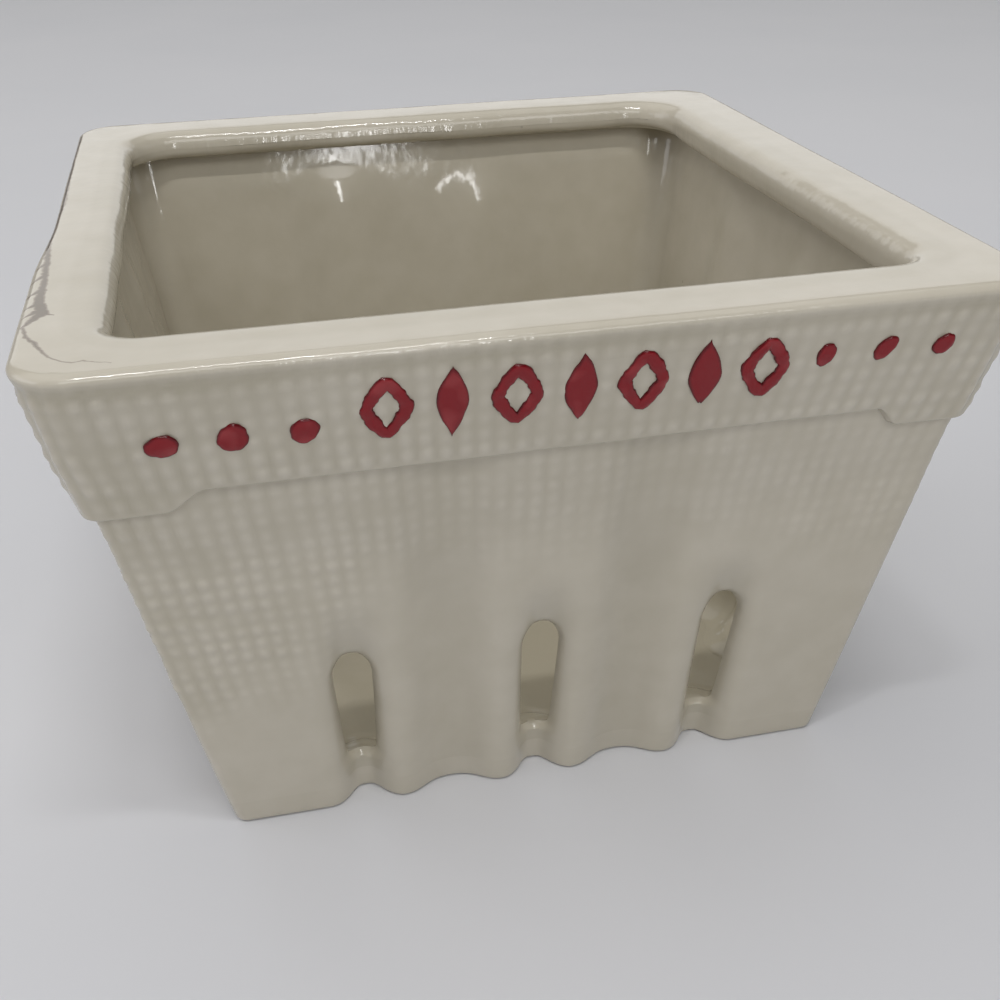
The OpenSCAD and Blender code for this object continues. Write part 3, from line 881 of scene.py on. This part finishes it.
# Enamel: drops and brushed marks laid on the front band
paint = {
    "thick": 0.42, "sunk": 0.3,
    # place across and up, width, height and tilt of each drop
    "spots": {"spot_left_far": (-52.0, 77.8, 4.1, 3.7, 8), "spot_left_mid": (-43.4, 78.0, 4.1, 4.3, -10),
              "spot_left_near": (-34.6, 77.9, 3.9, 3.9, 20), "spot_right_near": (36.8, 81.0, 2.5, 4.1, -18),
              "spot_right_mid": (45.6, 81.1, 2.7, 4.2, -38), "spot_right_far": (54.5, 80.7, 2.8, 3.7, -30)},
    "markPitch": 8.71, "markHigh": 80.0, "markShift": 2.0, "lozengeWide": 7.6, "lozengeHigh": 11.2,
    "stroke": 1.9, "diamond": 1.25, "leafWide": 4.6, "leafHigh": 11.2,
    # how much of the stroke's width the line's middle lies in from the diamond's outside
    "strokeIn": (1.18, 1.45),
    # ragged outline of a drop: how much and how many waves, with a shift by seed
    "ragged": ((0.05, 2, 2.1), (0.035, 3, 4.7), (0.02, 7, 1), (0.012, 11, 3)),
    "strokeRagged": ((0.1, 3, 1), (0.07, 8, 3), (0.04, 17, 5)),
}


def onBand(x, z, across, up, proud):
    # across and up lie in the band's sloping face, proud stands off it
    tiltSin, tiltCos = math.sin(bandTilt), math.cos(bandTilt)
    y = -bandHalf(z) - up * tiltSin - proud * tiltCos
    return warp(np.stack([x + across, y, z + up * tiltCos - proud * tiltSin], 1))


def addBall(name):
    clearSelection()
    bpy.ops.mesh.primitive_uv_sphere_add(segments=48, ring_count=24, radius=1)
    piece = bpy.context.active_object
    piece.name = piece.data.name = name
    return piece


def waves(turn, seed, rows):
    return 1 + sum(much * np.sin(count * turn + seed * shift) for much, count, shift in rows)


def paintBlob(piece, x, z, halfWide, halfHigh, pointed, seed, tilt=0.0):
    # the ball is flattened into a domed drop; pointed 0 gives an oval and 1 a leaf
    ball = meshPlaces(piece)
    turn = np.arctan2(ball[:, 1], ball[:, 0])
    reach = np.hypot(ball[:, 0], ball[:, 1])
    ragged = waves(turn, seed, paint["ragged"])
    across, up = ball[:, 0] * ragged, ball[:, 1] * ragged
    slim = np.sqrt(np.maximum(1 - np.clip(np.abs(up), 0, 1) ** 2, 1e-6))
    lens = (1 - np.clip(np.abs(up), 0, 1.0) ** 1.7) / slim
    across = across * (1 + pointed * (np.clip(lens, 0.1, 1.2) - 1))
    dome = np.abs(ball[:, 2]) ** 0.6
    lumps = 1 + 0.12 * np.sin(across * 3 + seed) + 0.1 * np.sin(up * 4 + seed * 2)
    height = paint["thick"] * dome * lumps
    proud = np.where(ball[:, 2] >= 0, height, -paint["sunk"] * dome)
    a = math.radians(tilt)
    across, up = across * halfWide, up * halfHigh
    tilted = across * math.cos(a) - up * math.sin(a), across * math.sin(a) + up * math.cos(a)
    press(piece, onBand(x, z, *tilted, proud))
    setLayer(piece, "thick", np.clip((1 - reach) * 2.6, 0, 1))
    trimPiece(piece, trim["enamelSharp"])


for seed, (node, (x, z, wide, high, tilt)) in enumerate(paint["spots"].items()):
    drop = addBall("enamelDrop." + node[5:])
    paintBlob(drop, x, z, wide / 2, high / 2, 0, seed + 1, tilt)
    keepPiece(drop, "red_enamel", redEnamel, node)

for n in range(3):
    leaf = addBall("enamelLeaf.%d" % (n + 1))
    x = paint["markShift"] + (-2 + 2 * n) * paint["markPitch"]
    paintBlob(leaf, x, paint["markHigh"], paint["leafWide"] / 2, paint["leafHigh"] / 2, 1, 20 + n)
    keepPiece(leaf, "red_enamel", redEnamel, "mark_leaf_%d" % (n + 1))


def diamondRadius(turn, halfWide, halfHigh):
    # a diamond with rounded corners: how far out its line is at each turn
    power = paint["diamond"]
    total = np.abs(np.cos(turn) / halfWide) ** power + np.abs(np.sin(turn) / halfHigh) ** power
    return total ** (-1 / power)


def addLozenge(name, x, z, seed):
    # a brushed line round a diamond, from a torus whose tube is flattened
    clearSelection()
    bpy.ops.mesh.primitive_torus_add(major_segments=120, minor_segments=16, major_radius=1,
                                     minor_radius=0.25)
    piece = bpy.context.active_object
    piece.name = piece.data.name = name
    places = meshPlaces(piece)
    turn = np.arctan2(places[:, 1], places[:, 0])
    tube = np.arctan2(places[:, 2], np.hypot(places[:, 0], places[:, 1]) - 1)
    halfWide = (paint["lozengeWide"] - paint["stroke"] * paint["strokeIn"][0]) / 2
    halfHigh = (paint["lozengeHigh"] - paint["stroke"] * paint["strokeIn"][1]) / 2
    radius = diamondRadius(turn, halfWide, halfHigh)
    across, up = radius * np.cos(turn), radius * np.sin(turn)
    ahead = turn + 0.02
    nextRadius = diamondRadius(ahead, halfWide, halfHigh)
    dx, dy = nextRadius * np.cos(ahead) - across, nextRadius * np.sin(ahead) - up
    size = np.hypot(dx, dy)
    width = paint["stroke"] / 2 * waves(turn, seed, paint["strokeRagged"])
    side = np.cos(tube) * width
    across, up = across + side * dy / size, up - side * dx / size
    dome = np.abs(np.sin(tube)) ** 0.7
    height = paint["thick"] * dome * (1 + 0.15 * np.sin(5 * turn + seed * 2))
    press(piece, onBand(x, z, across, up, np.where(np.sin(tube) >= 0, height, -paint["sunk"] * dome)))
    setLayer(piece, "thick", np.clip(1.6 * dome - 0.75, 0, 1))
    trimPiece(piece, trim["enamelSharp"])
    return piece


for n in range(4):
    x = paint["markShift"] + (-3 + 2 * n) * paint["markPitch"]
    lozenge = addLozenge("enamelLozenge.%d" % (n + 1), x, paint["markHigh"], 40 + n)
    keepPiece(lozenge, "red_enamel", redEnamel, "mark_lozenge_%d" % (n + 1))
print("enamel is painted")


# Table, camera and lights
studio = {
    "tableWide": 9.0, "tones": ("#DADADD", "#D3D4D8"), "cloudMm": 111.111, "tableRough": 0.42,
    "camera": (-0.04180, -0.21478, 0.14783), "rotation": (1.065, 0.016, -0.226), "lens": 45.18,
    "sensor": 36, "clipStart": 0.005, "air": "#F2F3F6", "airStrength": 0.11,
}


# A smooth pale table top: it gives a plain grey ground with a soft sheen under the bowl
def makeTable():
    m = newMaterial("paleTable")
    place = addNode(m, "ShaderNodeTexCoord").outputs["Object"]
    cloud = addNoise(m, place, studio["cloudMm"], 3.0)
    tone = addBlend(m, cloud, *[hexColour(code) for code in studio["tones"]])
    shader = addNode(m, "ShaderNodeBsdfPrincipled", {"Base Color": tone, "Roughness": studio["tableRough"]})
    return finish(m, shader.outputs[0])


clearSelection()
bpy.ops.mesh.primitive_plane_add(size=studio["tableWide"])
table = bpy.context.active_object
table.name = table.data.name = "table"
table.data.materials.append(makeTable())

bpy.ops.object.camera_add(location=studio["camera"], rotation=studio["rotation"])
camera = bpy.context.active_object
camera.data.lens = studio["lens"]
camera.data.sensor_width = studio["sensor"]
camera.data.clip_start = studio["clipStart"]
bpy.context.scene.camera = camera


# Each lamp: its place, the place it faces, its width and height, its watts and its colour
lamps = {
    "ceiling": ((-0.25, 0.3, 1.6), (0, 0, 0.04), 2.2, 2.2, 11.2, "#FFFEFC"),
    "backScreen": ((0.25, 2.0, 0.75), (0, 0, 0.06), 3.0, 0.9, 7.8, "#FFFEFC"),
    "leftScreen": ((-2.0, 0.2, 0.9), (0, 0, 0.05), 2.0, 1.2, 8.4, "#FAFAFF"),
    "leftWindow": ((-1.3, -0.1, 0.45), (0, 0, 0.05), 0.9, 0.6, 1.4, "#FAFAFF"),
    "rightScreen": ((1.3, -0.1, 0.6), (0, 0, 0.05), 0.9, 0.6, 0.8, "#FFFFFF"),
    "frontSoft": ((0, -1.3, 1.3), (0, 0, 0.05), 1.6, 0.5, 6.6, "#FFFFFF"),
    # narrow bright tubes that the glaze mirrors as lines
    "tubeFront": ((0.13, -1.2, 0.45), (0, 0, 0.08), 0.05, 0.7, 1.9, "#FFFFFF"),
    "tubeHigh": ((0.06, -0.4, 1.2), (0.06, 0, 0.08), 0.26, 0.045, 2.1, "#FFFFFF"),
    "tubeHighLeft": ((-0.18, -0.4, 1.2), (-0.18, 0, 0.08), 0.12, 0.035, 1.2, "#FFFFFF"),
}


def addLamp(name, place, facing, wide, high, watts, colour):
    bpy.ops.object.light_add(type="AREA", location=place)
    lamp = bpy.context.active_object
    lamp.name = name
    lamp.data.shape = "RECTANGLE"
    lamp.data.size, lamp.data.size_y = wide, high
    lamp.data.energy = watts
    lamp.data.color = hexColour(colour)[:3]
    away = [a - p for a, p in zip(facing, place)]
    flat = math.hypot(away[0], away[1])
    lamp.rotation_euler = (math.atan2(flat, -away[2]), 0, math.atan2(-away[0], away[1]))


for name, row in lamps.items():
    addLamp(name, *row)

air = bpy.data.worlds.new("air")
bpy.context.scene.world = air
air.use_nodes = True
backdrop = air.node_tree.nodes["Background"]
backdrop.inputs["Color"].default_value = hexColour(studio["air"])
backdrop.inputs["Strength"].default_value = studio["airStrength"]
bpy.context.scene.view_settings.view_transform = "Standard"
print("table, camera and lights are set")
